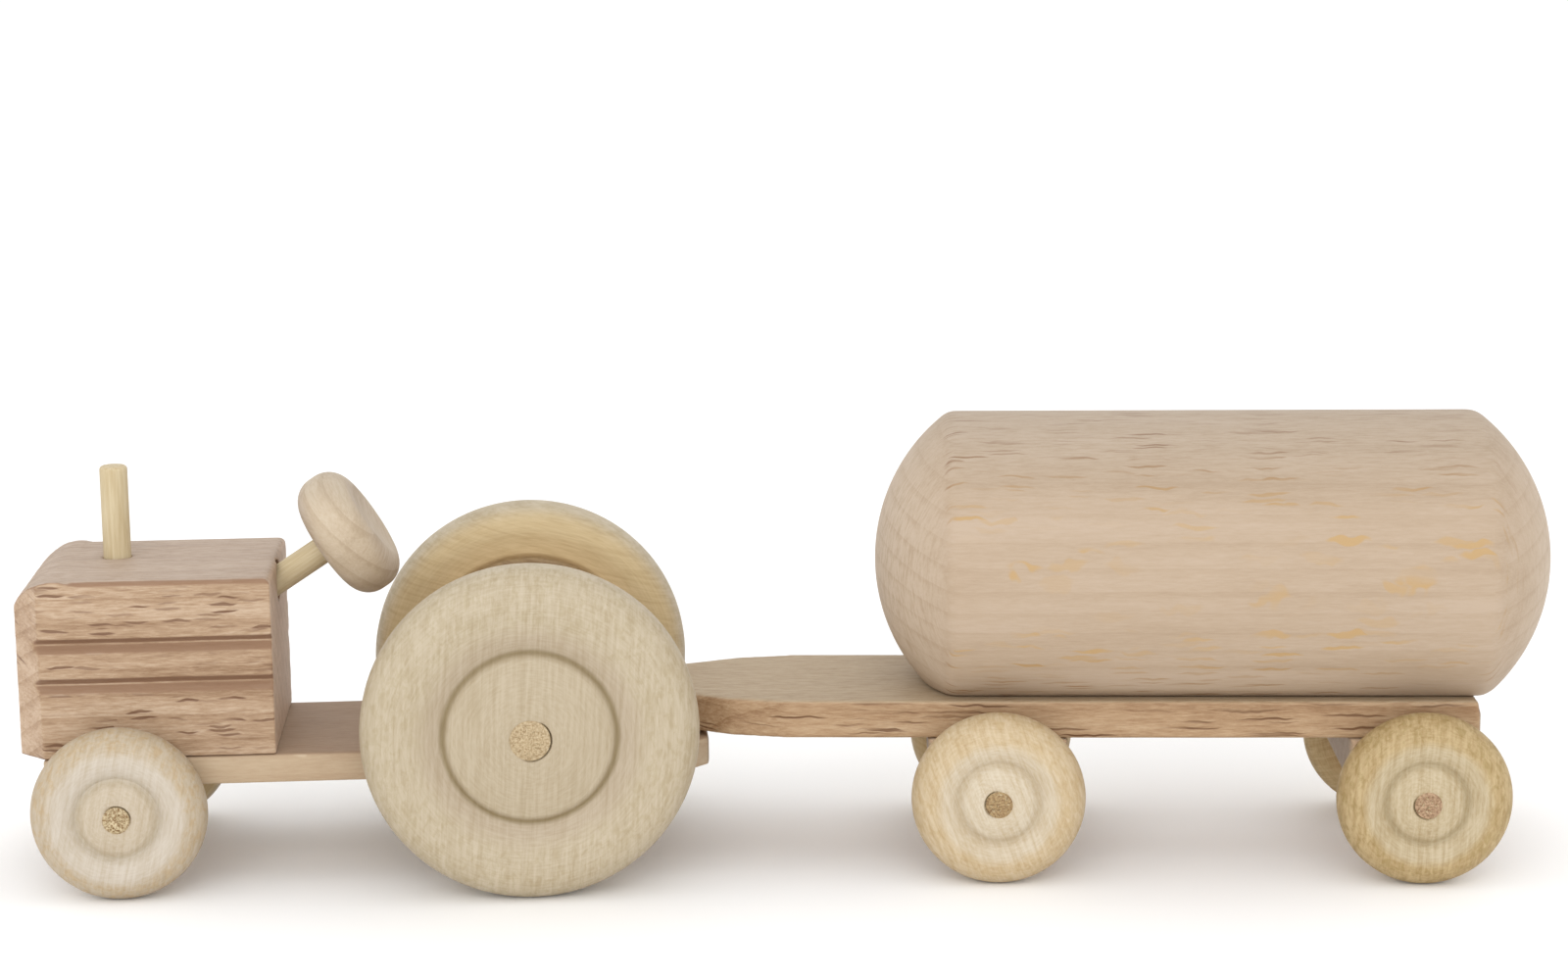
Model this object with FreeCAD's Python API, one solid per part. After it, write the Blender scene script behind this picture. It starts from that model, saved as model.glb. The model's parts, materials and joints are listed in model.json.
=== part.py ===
import FreeCAD, Part
import math
import os

# A turned and sawn wooden toy: a tractor that pulls a tank trailer.
# Millimetres and degrees. The tractor faces -X, the floor is z = 0, and +Z is up.
# The tractor is laid out from its rear axle (x = 0), the trailer from its hitch hole (x = 0).
# At the end everything is moved so that the origin is the middle of the toy, on the floor.

# Wheels and the dowels that they are glued on
big_wheel_diameter = 50.0
big_wheel_thickness = 11.5
big_wheel_rounding = 4.7     # of the tyre's edges
big_hub_radius = 12.6
big_hub_drop = 1.3           # from the hub's flat middle down to its edge
big_valley_drop = 2.2        # and down to the narrow valley around the hub
big_hollow_depth = 1.0       # of the shallow hollow in the inner face
big_boss_radius = 8.0        # the boss left standing in that hollow
big_axle_diameter = 6.0
small_wheel_diameter = 26.0
small_wheel_thickness = 8.2
small_wheel_rounding = 4.0
small_hub_radius = 5.8
small_hub_drop = 0.5
small_valley_drop = 1.4
small_hollow_depth = 0.6
small_boss_radius = 5.0
small_axle_diameter = 4.0
hub_flat = 1.0               # radial width of a hub's flat ring around the dowel
hub_bow = 0.32               # share of the hub's drop that its rounded face has lost half way out
valley_slope = 0.35          # radial width of the slope from a hub's edge into the valley
dish_bow = 0.22              # share of the valley's drop that is left half way up the dish
hollow_land = 0.5            # flat ring between the inner hollow and the tyre's rounded edge
axle_end_stand = 0.3         # how far a dowel end stands out of the wheel's hub
axle_end_chamfer = 0.3
axle_running_gap = 0.05      # radial, between a turning dowel and its hole
wheel_side_gap = 0.5         # between a wheel's inner face and the block beside it

# Tractor body
wheelbase = 61.0
body_width = 31.5
chassis_thickness = 4.4
chassis_corner_cut = 3.5
chassis_setback = 3.8        # how far its front end lies behind the bonnet's front
chassis_tail = 7.0           # beyond the hitch pin
bonnet_overhang = 15.3       # in front of the front axle
bonnet_length = 38.3
bonnet_height = 27.0
bonnet_corner_cut = 4.0
bonnet_edge_radius = 1.2
nose_edge_drop = 4.2         # from the bonnet's top down to the front face's upper edge
nose_slope_length = 7.6      # along the top, from the front face back to the flat top
nose_bulge = 1.5             # how far the rounded nose stands out from that straight slope
side_groove_drops = (9.5, 15.6)   # groove middles, down from the bonnet's top
side_groove_width = 2.3
side_groove_depth = 1.1
side_groove_low_side = 0.6   # share of the groove's width that lies below its deepest line

# Exhaust pipe and steering
exhaust_diameter = 4.2
exhaust_setback = 13.7       # behind the bonnet's front
exhaust_y = 3.0
exhaust_height = 14.1
exhaust_socket_depth = 8.0
exhaust_top_radius = 0.6
column_diameter = 4.2
column_tilt = 33.0           # above the horizontal
column_exit_drop = 3.6       # from the bonnet's top to the column's axis at the back face
column_depth = 13.0          # along the axis, inside the bonnet
column_end_gap = 1.0         # between the column's inner end and the end of its hole
column_mouth_radius = 2.75   # the worn mouth of the column's hole
column_mouth_depth = 2.2
column_running_gap = 0.06
column_reach = 12.8          # along the axis, from the back face to the steering wheel's middle
steering_wheel_diameter = 20.0
steering_wheel_thickness = 8.8
steering_wheel_rounding = 3.7
steering_wheel_dish = 0.7
steering_wheel_dome = 0.4    # its back falls away by this much towards the rim
steering_socket_depth = 5.0  # into the steering wheel's back

# Axle blocks
front_block_length = 18.0
axle_headroom = 0.7          # between a small axle and the tractor's chassis above it
small_axle_wall = 1.8        # wood left below a small axle
small_block_edge_cut = 4.6   # the trailer blocks' sloped lower edges
rear_block_length = 20.0
rear_axle_wall = 3.1         # wood left above the big axle
rear_block_overhang = 2.5    # beyond each side of the body
block_corner_radius = 0.8

# Hitch
hitch_setback = 20.0         # behind the tractor's rear axle
hitch_pin_diameter = 4.0
hitch_pin_gap = 0.1          # radial, between the pin and the tongue's hole
hitch_pin_stand = 4.5        # above the tongue
hitch_tip_step = 0.3         # radial, how much thinner the pin's tip is than its shank
hitch_tip_taper = 0.6        # height of the taper between them
hitch_shank_stand = 0.3      # how far the shank stands out of the tongue
hitch_lift = 0.6             # between the chassis and the tongue lying over it
hitch_angle = -6.2           # how far the trailer stands turned behind the tractor

# Trailer, from the hitch hole
deck_width = 30.0
deck_thickness = 5.8
tongue_tip_radius = 7.0
tongue_facet_x = 11.5
tongue_facet_inset = 1.8     # how much narrower each side is at the facet's start
tongue_shoulder_x = 20.0
deck_corner_radius = 1.0
deck_end_slope = 0.6         # how far the deck's rear end leans in at its top
deck_end_slope_height = 2.3
front_axle_setback = 52.0
rear_axle_inset = 9.1        # from the deck's rear end forward to the trailer's rear axle
trailer_block_length = 21.0
trailer_block_overhang = 0.5 # beyond each side of the deck
tank_front = 33.5
tank_length = 102.6
tank_rear_overhang = 11.8    # beyond the deck's rear end
tank_diameter = 45.0
tank_flat_width = 24.2
tank_dome_depth = 11.3
tank_shoulder_radius = 3.0

least_land = 0.05            # flat width always left between two rounded edges
overrun = 1.0                # how far a cutting tool runs past the wood
nearly = 0.01                # lengths closer than this count as the same

# Worked out from the sizes above
big_radius = big_wheel_diameter / 2
small_radius = small_wheel_diameter / 2
chassis_bottom = small_radius + small_axle_diameter / 2 + axle_headroom
chassis_top = chassis_bottom + chassis_thickness
small_block_bottom = small_radius - small_axle_diameter / 2 - small_axle_wall
bonnet_top = chassis_top + bonnet_height
front_axle_x = -wheelbase
bonnet_front = front_axle_x - bonnet_overhang
bonnet_rear = bonnet_front + bonnet_length
chassis_front = bonnet_front + chassis_setback
chassis_rear = hitch_setback + chassis_tail
exhaust_x = bonnet_front + exhaust_setback
front_block_width = body_width
rear_block_top = big_radius + big_axle_diameter / 2 + rear_axle_wall
rear_block_width = body_width + 2 * rear_block_overhang
deck_bottom = chassis_top + hitch_lift
deck_top = deck_bottom + deck_thickness
deck_rear = tank_front + tank_length - tank_rear_overhang
trailer_axles = (("front", front_axle_setback), ("rear", deck_rear - rear_axle_inset))
trailer_block_width = deck_width + 2 * trailer_block_overhang

X_AXIS = FreeCAD.Vector(1, 0, 0)
Y_AXIS = FreeCAD.Vector(0, 1, 0)
Z_AXIS = FreeCAD.Vector(0, 0, 1)
ORIGIN = FreeCAD.Vector(0, 0, 0)


def vec(x, y, z):
    return FreeCAD.Vector(x, y, z)


def box(x_range, y_range, z_range):
    """A box from its three (low, high) pairs."""
    corner = vec(x_range[0], y_range[0], z_range[0])
    return Part.makeBox(x_range[1] - x_range[0], y_range[1] - y_range[0], z_range[1] - z_range[0], corner)


def prism(points, direction):
    """A solid swept along direction from the flat polygon through points."""
    return Part.Face(Part.makePolygon(points + [points[0]])).extrude(direction)


def edges_along(shape, axis):
    """The straight edges of shape that run along axis."""
    found = []
    for edge in shape.Edges:
        if isinstance(edge.Curve, Part.Line):
            run = edge.Vertexes[-1].Point - edge.Vertexes[0].Point
            if run.cross(axis).Length < 1e-6 * run.Length:
                found.append(edge)
    return found


def circles(shape):
    """The round edges of shape."""
    return [edge for edge in shape.Edges if not edge.Degenerated and isinstance(edge.Curve, Part.Circle)]


def dowel(start, direction, diameter, length, chamfer):
    """A round rod with both ends lightly chamfered."""
    rod = Part.makeCylinder(diameter / 2, length, start, direction)
    return rod.makeChamfer(chamfer, circles(rod))


def arc(first, middle, last):
    return Part.Arc(vec(*first, 0), vec(*middle, 0), vec(*last, 0)).toShape()


def line(first, last):
    return Part.makeLine(vec(*first, 0), vec(*last, 0))


def quarter(centre, radius, start_degrees):
    """A quarter circle, counter-clockwise from start_degrees."""
    points = []
    for step in (0, 45, 90):
        turn = math.radians(start_degrees + step)
        points.append((centre[0] + radius * math.cos(turn), centre[1] + radius * math.sin(turn)))
    return arc(*points)


def cap_middle(radius, depth):
    """On a ball's cap, half way from the pole to the rim: distance off the axis, and drop from the pole."""
    ball = (radius ** 2 + depth ** 2) / (2 * depth)
    half_angle = math.asin(radius / ball) / 2
    return ball * math.sin(half_angle), ball * (1 - math.cos(half_angle))


def turned(edges, axis):
    """A solid of revolution about axis, from edges drawn in the XY plane."""
    return Part.Face(Part.Wire(edges)).revolve(ORIGIN, axis, 360)


def turned_wheel(radius, thickness, edge_rounding, bore, hub, hollow):
    """A lathe-turned wheel about the Y axis, with its outer face towards +Y.

    Its outer face has a round hub, a narrow valley and a dish that rises to the tyre's crown.
    hub is (radius, drop to the hub's edge, drop to the valley). hollow is (radius of the
    boss in it, depth) of the shallow hollow in the inner face.
    """
    half = thickness / 2
    rounding = min(edge_rounding, half - least_land)
    crown = radius - rounding
    hub_radius, hub_drop, valley_drop = hub
    inner, depth = hollow
    outer = crown - hollow_land
    valley_radius = hub_radius + valley_slope
    hub_edge = half - hub_drop
    valley = half - valley_drop
    flat = bore + hub_flat
    dish_middle = ((valley_radius + crown) / 2, half - dish_bow * valley_drop)
    hub_middle = ((hub_radius + flat) / 2, half - hub_bow * hub_drop)
    edges = [
        line((bore, -half), (bore, half)),
        line((bore, half), (flat, half)),
        arc((flat, half), hub_middle, (hub_radius, hub_edge)),
        line((hub_radius, hub_edge), (valley_radius, valley)),
        arc((valley_radius, valley), dish_middle, (crown, half)),
        quarter((crown, half - rounding), rounding, 0),
        line((radius, half - rounding), (radius, rounding - half)),
        quarter((crown, rounding - half), rounding, 270),
        line((crown, -half), (outer, -half)),
        line((outer, -half), (outer - depth, depth - half)),
        line((outer - depth, depth - half), (inner + depth, depth - half)),
        line((inner + depth, depth - half), (inner, -half)),
        line((inner, -half), (bore, -half)),
    ]
    return turned(Part.__sortEdges__(edges), Y_AXIS)


def big_wheel():
    return turned_wheel(
        big_radius, big_wheel_thickness, big_wheel_rounding, big_axle_diameter / 2,
        (big_hub_radius, big_hub_drop, big_valley_drop),
        (big_boss_radius, big_hollow_depth),
    )


def small_wheel():
    return turned_wheel(
        small_radius, small_wheel_thickness, small_wheel_rounding, small_axle_diameter / 2,
        (small_hub_radius, small_hub_drop, small_valley_drop),
        (small_boss_radius, small_hollow_depth),
    )


def wheel_set(axle_x, axle_diameter, wheel, wheel_radius, wheel_thickness, block_width):
    """An axle dowel across the toy and its two wheels: left (-Y), right (+Y)."""
    middle = block_width / 2 + wheel_side_gap + wheel_thickness / 2
    end = middle + wheel_thickness / 2 + axle_end_stand
    axle = dowel(vec(axle_x, -end, wheel_radius), Y_AXIS, axle_diameter, 2 * end, axle_end_chamfer)
    right = wheel.copy()
    right.translate(vec(axle_x, middle, wheel_radius))
    left = wheel.copy()
    left.rotate(ORIGIN, Z_AXIS, 180)
    left.translate(vec(axle_x, -middle, wheel_radius))
    return axle, left, right


def axle_hole(axle_x, axle_diameter, height, width):
    """The hole that a turning axle needs through wood of this width."""
    length = width + 2 * overrun
    return Part.makeCylinder(
        axle_diameter / 2 + axle_running_gap, length, vec(axle_x, -length / 2, height), Y_AXIS
    )


def make_chassis():
    half = body_width / 2
    cut = chassis_corner_cut
    outline = [
        vec(chassis_front, -half, chassis_bottom),
        vec(chassis_rear - cut, -half, chassis_bottom),
        vec(chassis_rear, cut - half, chassis_bottom),
        vec(chassis_rear, half - cut, chassis_bottom),
        vec(chassis_rear - cut, half, chassis_bottom),
        vec(chassis_front, half, chassis_bottom),
    ]
    plank = prism(outline, Z_AXIS * chassis_thickness)
    pin_hole = Part.makeCylinder(
        hitch_pin_diameter / 2, chassis_thickness + 2 * overrun,
        vec(hitch_setback, 0, chassis_bottom - overrun), Z_AXIS,
    )
    return plank.cut(pin_hole).cut(axle_hole(0, big_axle_diameter, big_radius, body_width))


def column_axis():
    """The steering column's direction, up and back, and where it leaves the bonnet."""
    tilt = math.radians(column_tilt)
    return vec(math.cos(tilt), 0, math.sin(tilt)), vec(bonnet_rear, 0, bonnet_top - column_exit_drop)


def make_bonnet():
    half = body_width / 2
    profile = [
        vec(bonnet_front, -half, chassis_top),
        vec(bonnet_rear, -half, chassis_top),
        vec(bonnet_rear, -half, bonnet_top),
        vec(bonnet_front + nose_slope_length, -half, bonnet_top),
    ]
    top_start = profile[-1]
    nose_edge = vec(bonnet_front, -half, bonnet_top - nose_edge_drop)
    chord_middle = (top_start + nose_edge) * 0.5
    bulge = vec(-nose_edge_drop, 0, nose_slope_length).normalize() * nose_bulge
    edges = [Part.makeLine(profile[i], profile[i + 1]) for i in range(3)]
    edges.append(Part.Arc(top_start, chord_middle + bulge, nose_edge).toShape())
    edges.append(Part.makeLine(nose_edge, profile[0]))
    block = Part.Face(Part.Wire(edges)).extrude(Y_AXIS * body_width)

    for side in (-1, 1):
        corner = vec(bonnet_front, side * half, chassis_top - overrun)
        cut = [corner, corner + X_AXIS * bonnet_corner_cut, corner - Y_AXIS * side * bonnet_corner_cut]
        block = block.cut(prism(cut, Z_AXIS * (bonnet_height + 2 * overrun)))
        for drop in side_groove_drops:
            block = block.cut(side_groove(side, bonnet_top - drop))

    long_top = [edge for edge in edges_along(block, X_AXIS) if edge.CenterOfMass.z > bonnet_top - nearly]
    cross_top = [
        edge for edge in edges_along(block, Y_AXIS)
        if edge.CenterOfMass.z > bonnet_top - nearly and edge.CenterOfMass.x > bonnet_rear - nearly
    ]
    block = block.makeFillet(bonnet_edge_radius, long_top + cross_top)

    exhaust_socket = Part.makeCylinder(
        exhaust_diameter / 2, exhaust_socket_depth + overrun,
        vec(exhaust_x, exhaust_y, bonnet_top - exhaust_socket_depth), Z_AXIS,
    )
    direction, exit_point = column_axis()
    hole_radius = column_diameter / 2 + column_running_gap
    hole_depth = column_depth + column_end_gap
    column_hole = Part.makeCylinder(
        hole_radius, hole_depth + column_diameter, exit_point - direction * hole_depth, direction
    )
    mouth = Part.makeCylinder(
        column_mouth_radius, column_mouth_depth + column_diameter,
        exit_point - direction * column_mouth_depth, direction,
    )
    return block.cut(exhaust_socket).cut(column_hole).cut(mouth)


def side_groove(side, height):
    """The V-shaped cutter for one groove along a side of the bonnet."""
    outside = side * (body_width / 2 + overrun)
    bottom = side * (body_width / 2 - side_groove_depth)
    widen = 1 + overrun / side_groove_depth
    above = side_groove_width * (1 - side_groove_low_side) * widen
    below = side_groove_width * side_groove_low_side * widen
    start = bonnet_front - overrun
    triangle = [
        vec(start, outside, height + above),
        vec(start, bottom, height),
        vec(start, outside, height - below),
    ]
    return prism(triangle, X_AXIS * (bonnet_rear + overrun - start))


def make_exhaust_pipe():
    length = exhaust_height + exhaust_socket_depth
    foot = vec(exhaust_x, exhaust_y, bonnet_top - exhaust_socket_depth)
    pipe = Part.makeCylinder(exhaust_diameter / 2, length, foot, Z_AXIS)
    rim = [edge for edge in circles(pipe) if edge.Curve.Center.z > bonnet_top]
    return pipe.makeFillet(exhaust_top_radius, rim)


def make_steering():
    """The slanted column and the steering wheel glued on its upper end."""
    direction, exit_point = column_axis()
    half = steering_wheel_thickness / 2
    back_face = column_reach - half
    column = dowel(
        exit_point - direction * column_depth, direction, column_diameter,
        column_depth + back_face + steering_socket_depth, axle_end_chamfer,
    )
    radius = steering_wheel_diameter / 2
    dome = steering_wheel_dome
    rounding = min(steering_wheel_rounding, half - dome / 2 - least_land)
    rim_inner = radius - rounding
    socket_radius = column_diameter / 2
    reach, sag = cap_middle(rim_inner, steering_wheel_dish)
    bottom = half - steering_wheel_dish
    dish = arc((rim_inner, half), (reach, bottom + sag), (0, bottom))
    profile = [
        line((0, steering_socket_depth - half), (socket_radius, steering_socket_depth - half)),
        line((socket_radius, steering_socket_depth - half), (socket_radius, -half)),
        line((socket_radius, -half), (rim_inner, dome - half)),
        quarter((rim_inner, rounding + dome - half), rounding, 270),
        line((radius, rounding + dome - half), (radius, half - rounding)),
        quarter((rim_inner, half - rounding), rounding, 0),
        dish,
        line((0, bottom), (0, steering_socket_depth - half)),
    ]
    wheel = turned(Part.__sortEdges__(profile), Y_AXIS)
    wheel.Placement = FreeCAD.Placement(
        exit_point + direction * column_reach, FreeCAD.Rotation(Y_AXIS, direction)
    )
    return column, wheel


def make_front_axle_block():
    """The block glued under the chassis; its groove holds the axle against the chassis."""
    half_length = front_block_length / 2
    half_width = front_block_width / 2
    block = box(
        (front_axle_x - half_length, front_axle_x + half_length),
        (-half_width, half_width), (small_block_bottom, chassis_bottom),
    )
    block = block.makeFillet(block_corner_radius, edges_along(block, Z_AXIS))
    radius = small_axle_diameter / 2 + axle_running_gap
    groove = axle_hole(front_axle_x, small_axle_diameter, small_radius, front_block_width)
    slot = box(
        (front_axle_x - radius, front_axle_x + radius),
        (-half_width - overrun, half_width + overrun), (small_radius, chassis_bottom + overrun),
    )
    return block.cut(groove.fuse(slot))


def make_rear_axle_block():
    """The block glued on top of the chassis that the rear axle turns in."""
    half_length = rear_block_length / 2
    half_width = rear_block_width / 2
    block = box((-half_length, half_length), (-half_width, half_width), (chassis_top, rear_block_top))
    block = block.makeFillet(block_corner_radius, edges_along(block, Z_AXIS))
    return block.cut(axle_hole(0, big_axle_diameter, big_radius, rear_block_width))


def make_hitch_pin():
    """The upright pin; its tip is a little thinner, so that a tongue drops over it easily."""
    radius = hitch_pin_diameter / 2
    tip_radius = radius - hitch_tip_step
    shank_top = deck_top + hitch_shank_stand
    tip_bottom = shank_top + hitch_tip_taper
    tip_top = deck_top + hitch_pin_stand
    foot = vec(hitch_setback, 0, chassis_bottom)
    shank = Part.makeCylinder(radius, shank_top - chassis_bottom, foot, Z_AXIS)
    taper = Part.makeCone(radius, tip_radius, hitch_tip_taper, vec(hitch_setback, 0, shank_top), Z_AXIS)
    tip = Part.makeCylinder(tip_radius, tip_top - tip_bottom, vec(hitch_setback, 0, tip_bottom), Z_AXIS)
    pin = shank.fuse(taper).fuse(tip).removeSplitter()
    ends = [
        edge for edge in circles(pin)
        if not chassis_bottom + nearly < edge.Curve.Center.z < tip_top - nearly
    ]
    return pin.makeChamfer(axle_end_chamfer, ends)


def tongue_tangent(side):
    """Where the line from the tongue's facet touches the round tip, on one side."""
    facet = vec(tongue_facet_x, side * (deck_width / 2 - tongue_facet_inset), 0)
    spread = math.acos(tongue_tip_radius / facet.Length)
    turn = math.atan2(facet.y, facet.x) + side * spread
    return vec(math.cos(turn), math.sin(turn), 0) * tongue_tip_radius, facet


def make_deck():
    """The trailer's plank, with its tapered tongue and the hitch hole."""
    half = deck_width / 2
    lift = vec(0, 0, deck_bottom)
    left_touch, left_facet = tongue_tangent(-1)
    right_touch, right_facet = tongue_tangent(1)
    corners = [
        left_touch + lift, left_facet + lift,
        vec(tongue_shoulder_x, -half, deck_bottom), vec(deck_rear, -half, deck_bottom),
        vec(deck_rear, half, deck_bottom), vec(tongue_shoulder_x, half, deck_bottom),
        right_facet + lift, right_touch + lift,
    ]
    edges = [Part.makeLine(corners[i], corners[i + 1]) for i in range(len(corners) - 1)]
    tip = vec(-tongue_tip_radius, 0, deck_bottom)
    edges.append(Part.Arc(corners[-1], tip, corners[0]).toShape())
    plank = Part.Face(Part.Wire(edges)).extrude(Z_AXIS * deck_thickness)
    rear_corners = [edge for edge in edges_along(plank, Z_AXIS) if edge.CenterOfMass.x > deck_rear - nearly]
    plank = plank.makeFillet(deck_corner_radius, rear_corners)
    hole = Part.makeCylinder(
        hitch_pin_diameter / 2 + hitch_pin_gap, deck_thickness + 2 * overrun,
        vec(0, 0, deck_bottom - overrun), Z_AXIS,
    )
    end_slope = prism([
        vec(deck_rear, -half - overrun, deck_top - deck_end_slope_height),
        vec(deck_rear + overrun, -half - overrun, deck_top - deck_end_slope_height),
        vec(deck_rear + overrun, -half - overrun, deck_top + overrun),
        vec(deck_rear - deck_end_slope, -half - overrun, deck_top + overrun),
        vec(deck_rear - deck_end_slope, -half - overrun, deck_top),
    ], Y_AXIS * (deck_width + 2 * overrun))
    return plank.cut(hole).cut(end_slope)


def make_tank():
    """The turned tank: a cylinder with domed ends and a planed flat that it is glued on."""
    radius = tank_diameter / 2
    shoulder = tank_length / 2 - tank_dome_depth
    reach, sag = cap_middle(radius, tank_dome_depth)
    edges = []
    for side in (-1, 1):
        middle = (side * (tank_length / 2 - sag), reach)
        edges.append(arc((side * tank_length / 2, 0), middle, (side * shoulder, radius)))
    edges.append(line((-shoulder, radius), (shoulder, radius)))
    edges.append(line((-tank_length / 2, 0), (tank_length / 2, 0)))
    tank = turned(Part.__sortEdges__(edges), X_AXIS)
    rims = [edge for edge in circles(tank) if abs(abs(edge.Curve.Center.x) - shoulder) < nearly]
    tank = tank.makeFillet(tank_shoulder_radius, rims)
    axis_height = deck_top + math.sqrt(radius ** 2 - (tank_flat_width / 2) ** 2)
    tank.translate(vec(tank_front + tank_length / 2, 0, axis_height))
    tank_rear = tank_front + tank_length
    below = box((tank_front - overrun, tank_rear + overrun), (-radius, radius), (0, deck_top))
    return tank.cut(below)


def make_trailer_block(axle_x):
    """A block glued under the deck, with sloped lower edges, that one axle turns in.

    Where it would reach past the deck's rear end it is sanded flush with it.
    """
    front = axle_x - trailer_block_length / 2
    rear = min(axle_x + trailer_block_length / 2, deck_rear)
    cut = small_block_edge_cut
    width = trailer_block_width
    side = -width / 2
    outline = [
        vec(front, side, deck_bottom),
        vec(front, side, small_block_bottom + cut),
        vec(front + cut, side, small_block_bottom),
        vec(rear - cut, side, small_block_bottom),
        vec(rear, side, small_block_bottom + cut),
        vec(rear, side, deck_bottom),
    ]
    block = prism(outline, Y_AXIS * width)
    block = block.makeFillet(block_corner_radius, edges_along(block, Z_AXIS))
    return block.cut(axle_hole(axle_x, small_axle_diameter, small_radius, width))


def build_tractor():
    column, steering_wheel = make_steering()
    pieces = {
        "bonnet": make_bonnet(),
        "chassis": make_chassis(),
        "exhaust_pipe": make_exhaust_pipe(),
        "front_axle_block": make_front_axle_block(),
        "rear_axle_block": make_rear_axle_block(),
        "hitch_pin": make_hitch_pin(),
        "steering_column": column,
        "steering_wheel": steering_wheel,
    }
    small = (small_axle_diameter, small_wheel(), small_radius, small_wheel_thickness, front_block_width)
    big = (big_axle_diameter, big_wheel(), big_radius, big_wheel_thickness, rear_block_width)
    for end, axle_x, sizes in (("front", front_axle_x, small), ("rear", 0, big)):
        axle, left, right = wheel_set(axle_x, *sizes)
        pieces[end + "_axle"] = axle
        pieces[end + "_wheel_left"] = left
        pieces[end + "_wheel_right"] = right
    return pieces


def build_trailer():
    """The trailer's pieces, turned about the hitch pin into the toy's rest pose."""
    pieces = {"trailer_deck": make_deck(), "tank": make_tank()}
    wheel = small_wheel()
    for end, axle_x in trailer_axles:
        axle, left, right = wheel_set(
            axle_x, small_axle_diameter, wheel, small_radius, small_wheel_thickness, trailer_block_width
        )
        pieces["trailer_%s_axle_block" % end] = make_trailer_block(axle_x)
        pieces["trailer_%s_axle" % end] = axle
        pieces["trailer_%s_wheel_left" % end] = left
        pieces["trailer_%s_wheel_right" % end] = right
    for piece in pieces.values():
        piece.rotate(ORIGIN, Z_AXIS, hitch_angle)
        piece.translate(vec(hitch_setback, 0, 0))
    return pieces


def joint_places(shift):
    """Each joint's centre and direction in the finished toy's frame."""
    turn = FreeCAD.Rotation(Z_AXIS, hitch_angle)
    hitch = vec(hitch_setback, 0, deck_bottom)
    direction, exit_point = column_axis()
    places = {
        "front_axle": (vec(front_axle_x, 0, small_radius), Y_AXIS),
        "rear_axle": (vec(0, 0, big_radius), Y_AXIS),
        "hitch": (hitch, Z_AXIS),
        "hitch pin top": (hitch + Z_AXIS * (deck_thickness + hitch_pin_stand), Z_AXIS),
        "steering": (exit_point, direction),
    }
    for end, axle_x in trailer_axles:
        place = vec(hitch_setback, 0, 0) + turn.multVec(vec(axle_x, 0, small_radius))
        places["trailer_%s_axle" % end] = (place, turn.multVec(Y_AXIS))
    return {name: (place + shift, axis) for name, (place, axis) in places.items()}


def main():
    os.makedirs("parts", exist_ok=True)
    pieces = build_tractor()
    pieces.update(build_trailer())
    whole = Part.makeCompound(list(pieces.values())).optimalBoundingBox(False, False)
    shift = vec(-whole.Center.x, -whole.Center.y, 0)
    for name, piece in pieces.items():
        piece.translate(shift)
        if not piece.isValid() or len(piece.Solids) != 1:
            raise ValueError("%s is not one valid solid" % name)
        piece.Solids[0].exportStep(os.path.join("parts", name + ".step"))
        print("%-28s %10.1f mm3" % (name, piece.Volume))
    print("overall %.3f x %.3f x %.3f" % (whole.XLength, whole.YLength, whole.ZLength))
    for name, (place, axis) in joint_places(shift).items():
        print("%-20s at %.4f %.4f %.4f along %.6f %.6f %.6f" % ((name,) + tuple(place) + tuple(axis)))


main()
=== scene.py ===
import json
import math

import bpy
from mathutils import Matrix, Quaternion, Vector, noise


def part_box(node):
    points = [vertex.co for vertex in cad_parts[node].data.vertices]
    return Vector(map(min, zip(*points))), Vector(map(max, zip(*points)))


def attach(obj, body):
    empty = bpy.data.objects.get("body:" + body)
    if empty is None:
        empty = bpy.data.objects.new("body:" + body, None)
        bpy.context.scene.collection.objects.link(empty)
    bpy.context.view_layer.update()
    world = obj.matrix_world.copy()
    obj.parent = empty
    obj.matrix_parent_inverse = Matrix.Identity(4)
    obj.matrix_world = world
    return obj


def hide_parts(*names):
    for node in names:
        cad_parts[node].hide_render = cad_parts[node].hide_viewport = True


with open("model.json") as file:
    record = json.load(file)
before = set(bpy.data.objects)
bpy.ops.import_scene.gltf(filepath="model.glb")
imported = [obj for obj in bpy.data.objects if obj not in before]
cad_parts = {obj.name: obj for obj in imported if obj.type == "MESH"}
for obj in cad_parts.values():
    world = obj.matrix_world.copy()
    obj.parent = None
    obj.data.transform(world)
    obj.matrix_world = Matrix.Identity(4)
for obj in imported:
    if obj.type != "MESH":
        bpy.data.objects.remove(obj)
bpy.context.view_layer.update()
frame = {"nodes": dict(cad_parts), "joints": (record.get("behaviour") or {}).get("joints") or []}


# The chassis: one planed beech plank with its rear corners sawn off. Everything else of the tractor
# is glued to it. Its faces are smooth and pale, with the grain along the toy.

MM = 0.001
FACTOR, COLOUR_A, COLOUR_B, MIXED = 0, 6, 7, 2   # the Mix node's sockets when it mixes colours


def linear(colour):
    """An sRGB hex colour as linear red, green, blue and alpha."""
    values = []
    for start in (0, 2, 4):
        value = int(colour[start:start + 2], 16) / 255
        values.append(value / 12.92 if value <= 0.04045 else ((value + 0.055) / 1.055) ** 2.4)
    return (*values, 1.0)


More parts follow.
